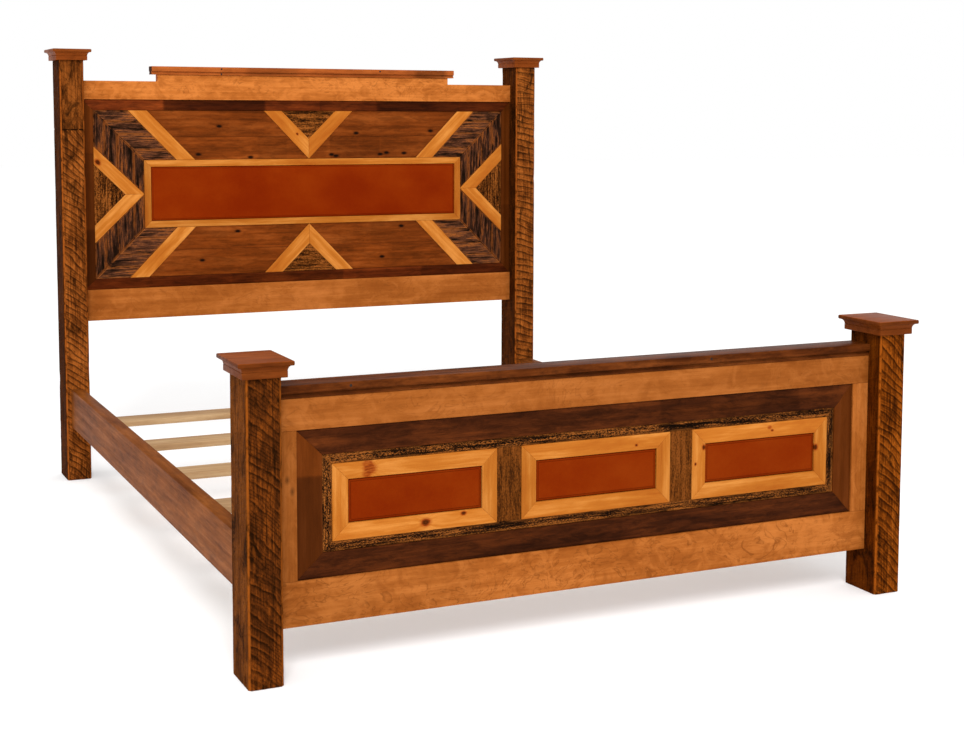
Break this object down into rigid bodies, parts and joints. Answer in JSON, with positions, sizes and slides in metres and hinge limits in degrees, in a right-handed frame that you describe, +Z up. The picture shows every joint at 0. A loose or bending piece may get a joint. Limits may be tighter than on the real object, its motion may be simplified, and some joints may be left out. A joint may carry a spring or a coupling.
{
  "type": "wooden bed frame",
  "caption": "Reclaimed-wood panel bed frame: capped rough-sawn posts, inlaid headboard, leather-inset footboard, hook-on side rails and loose slats.",
  "frame": {"origin": "on the floor, midway between the outer faces of the posts and midway between the foot and the head of the bed", "axes": "+Y from the foot to the head, +X to the right for someone looking from the foot, +Z up"},
  "size_m": [1.754, 2.294, 1.4143],
  "materials": {
    "sawn_post": "rough circular-sawn reclaimed timber, matt",
    "cap_wood": "smooth reddish-brown satin",
    "cherry": "smooth orange-brown satin",
    "dark_moulding": "dark stained satin",
    "barnwood": "weathered rough-sawn, matt",
    "pine": "knotty yellow-orange satin",
    "leather": "rust-orange satin",
    "plywood": "plain sanded, matt",
    "slat_wood": "planed softwood, matt",
    "steel": "black satin",
    "glide": "black matt"
  },
  "bodies": {
    "bed": {"footboard_backer": "plywood", "footboard_barnwood_border": "barnwood", "footboard_bottom_rail": "cherry", "footboard_cap_left": "cap_wood", "footboard_cap_right": "cap_wood", "footboard_cap_strip": "cap_wood", "footboard_divider_left": "barnwood", "footboard_divider_right": "barnwood", "footboard_frame_centre": "pine", "footboard_frame_left": "pine", "footboard_frame_right": "pine", "footboard_leather_centre": "leather", "footboard_leather_left": "leather", "footboard_leather_right": "leather", "footboard_moulding": "dark_moulding", "footboard_post_left": "sawn_post", "footboard_post_right": "sawn_post", "footboard_stile_left": "cherry", "footboard_stile_right": "cherry", "footboard_top_rail": "cherry", "headboard_backer": "plywood", "headboard_barnwood_bottom": "barnwood", "headboard_barnwood_left": "barnwood", "headboard_barnwood_right": "barnwood", "headboard_barnwood_top": "barnwood", "headboard_bottom_rail": "cherry", "headboard_cap_left": "cap_wood", "headboard_cap_right": "cap_wood", "headboard_chevron_left": "pine", "headboard_chevron_right": "pine", "headboard_crest": "cap_wood", "headboard_diagonal_bottom_left": "pine", "headboard_diagonal_bottom_right": "pine", "headboard_diagonal_top_left": "pine", "headboard_diagonal_top_right": "pine", "headboard_leather": "leather", "headboard_leather_border": "pine", "headboard_moulding": "dark_moulding", "headboard_post_left": "sawn_post", "headboard_post_right": "sawn_post", "headboard_top_rail": "cherry", "headboard_vee_bottom": "pine", "headboard_vee_top": "pine", "ledger_left": "slat_wood", "ledger_right": "slat_wood", "rail_hook_foot_left": "steel", "rail_hook_foot_right": "steel", "rail_hook_head_left": "steel", "rail_hook_head_right": "steel", "side_rail_left": "cherry", "side_rail_right": "cherry"},
    "slat_1": {"slat_1": "slat_wood"},
    "slat_2": {"slat_2": "slat_wood", "centre_leg_front": "slat_wood"},
    "slat_3": {"slat_3": "slat_wood"},
    "slat_4": {"slat_4": "slat_wood", "centre_leg_rear": "slat_wood"},
    "slat_5": {"slat_5": "slat_wood"},
    "leveller_front": {"leveller_front": "glide"},
    "leveller_rear": {"leveller_rear": "glide"}
  },
  "joints": [
    {"name": "slat_1_lift", "type": "slide", "parent": "bed", "child": "slat_1", "axis": [0, 0, 1], "range_m": [0, 0.35]},
    {"name": "slat_2_lift", "type": "slide", "parent": "bed", "child": "slat_2", "axis": [0, 0, 1], "range_m": [0, 0.35]},
    {"name": "slat_3_lift", "type": "slide", "parent": "bed", "child": "slat_3", "axis": [0, 0, 1], "range_m": [0, 0.35]},
    {"name": "slat_4_lift", "type": "slide", "parent": "bed", "child": "slat_4", "axis": [0, 0, 1], "range_m": [0, 0.35]},
    {"name": "slat_5_lift", "type": "slide", "parent": "bed", "child": "slat_5", "axis": [0, 0, 1], "range_m": [0, 0.35]},
    {"name": "leveller_front_travel", "type": "slide", "parent": "slat_2", "child": "leveller_front", "axis": [0, 0, 1], "range_m": [0, 0.01]},
    {"name": "leveller_rear_travel", "type": "slide", "parent": "slat_4", "child": "leveller_rear", "axis": [0, 0, 1], "range_m": [0, 0.01]}
  ]
}
